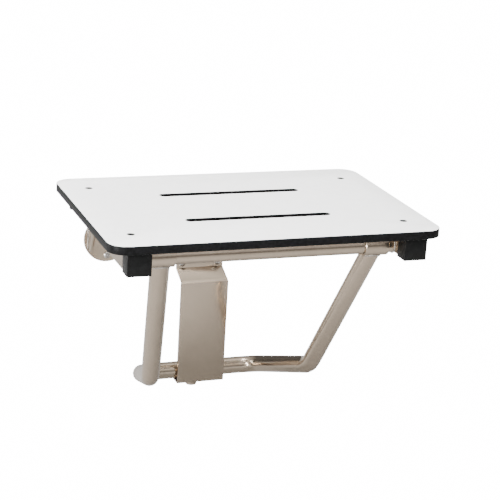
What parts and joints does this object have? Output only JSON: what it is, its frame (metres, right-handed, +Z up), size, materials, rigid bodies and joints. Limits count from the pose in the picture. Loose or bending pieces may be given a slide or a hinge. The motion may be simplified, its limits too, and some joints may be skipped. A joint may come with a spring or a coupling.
{
  "type": "wall-mounted folding shower seat",
  "caption": "Wall-mounted shower seat that folds up: slotted phenolic panel on a square-tube frame, with a bent-tube leg running in a wall guide.",
  "frame": {"origin": "on the wall plane, at the middle of the guide bracket's upper flange, between its two screws", "axes": "+X across the seat to a viewer's right who faces the wall, +Y into the wall, +Z up"},
  "size_m": [0.508, 0.3892, 0.3643],
  "materials": {
    "seat_laminate": "white satin face on a black solid core",
    "satin_steel": "satin brushed",
    "fastener_steel": "machined, semi-bright",
    "end_cap_plastic": "black moulded",
    "nylon": "natural nylon"
  },
  "bodies": {
    "wall_mount": {"flange_screw_left_1": "fastener_steel", "flange_screw_left_2": "fastener_steel", "flange_screw_left_3": "fastener_steel", "flange_screw_right_1": "fastener_steel", "flange_screw_right_2": "fastener_steel", "flange_screw_right_3": "fastener_steel", "guide_bracket": "satin_steel", "guide_foot_stop": "satin_steel", "guide_screw_left": "fastener_steel", "guide_screw_right": "fastener_steel", "hinge_plate_left": "satin_steel", "hinge_plate_right": "satin_steel", "pivot_bolt_left": "fastener_steel", "pivot_bolt_right": "fastener_steel", "pivot_nut_left": "fastener_steel", "pivot_nut_right": "fastener_steel", "pivot_washer_left": "nylon", "pivot_washer_right": "nylon", "wall_flange_left": "satin_steel", "wall_flange_right": "satin_steel"},
    "seat": {"front_cap_left": "end_cap_plastic", "front_cap_right": "end_cap_plastic", "front_cross_tube": "satin_steel", "rear_cap_left": "end_cap_plastic", "rear_cap_right": "end_cap_plastic", "seat_panel": "seat_laminate", "seat_screw_back_left": "fastener_steel", "seat_screw_back_right": "fastener_steel", "seat_screw_front_left": "fastener_steel", "seat_screw_front_right": "fastener_steel", "side_rail_left": "satin_steel", "side_rail_right": "satin_steel"},
    "leg": {"pivot_sleeve_left": "satin_steel", "pivot_sleeve_right": "satin_steel", "support_leg_left": "satin_steel", "support_leg_right": "satin_steel"},
    "guide_slider": {"guide_bar": "satin_steel", "guide_glide": "nylon"}
  },
  "joints": [
    {"name": "seat_fold", "type": "hinge", "parent": "wall_mount", "child": "seat", "pos_m": [0, -0.044, 0.1235], "axis": [-1, 0, 0], "range_deg": [0, 90]},
    {"name": "leg_swing", "type": "hinge", "parent": "seat", "child": "leg", "pos_m": [0, -0.316, 0.1215], "axis": [-1, 0, 0], "range_deg": [-50, 0]},
    {"name": "guide_slide", "type": "slide", "parent": "wall_mount", "child": "guide_slider", "axis": [0, 0, 1], "range_m": [0, 0.154]}
  ],
  "couplings": [
    {"joint": "leg_swing", "follows": "seat_fold", "ratio": -0.552},
    {"joint": "guide_slide", "follows": "seat_fold", "m_per_rad": 0.0961}
  ]
}
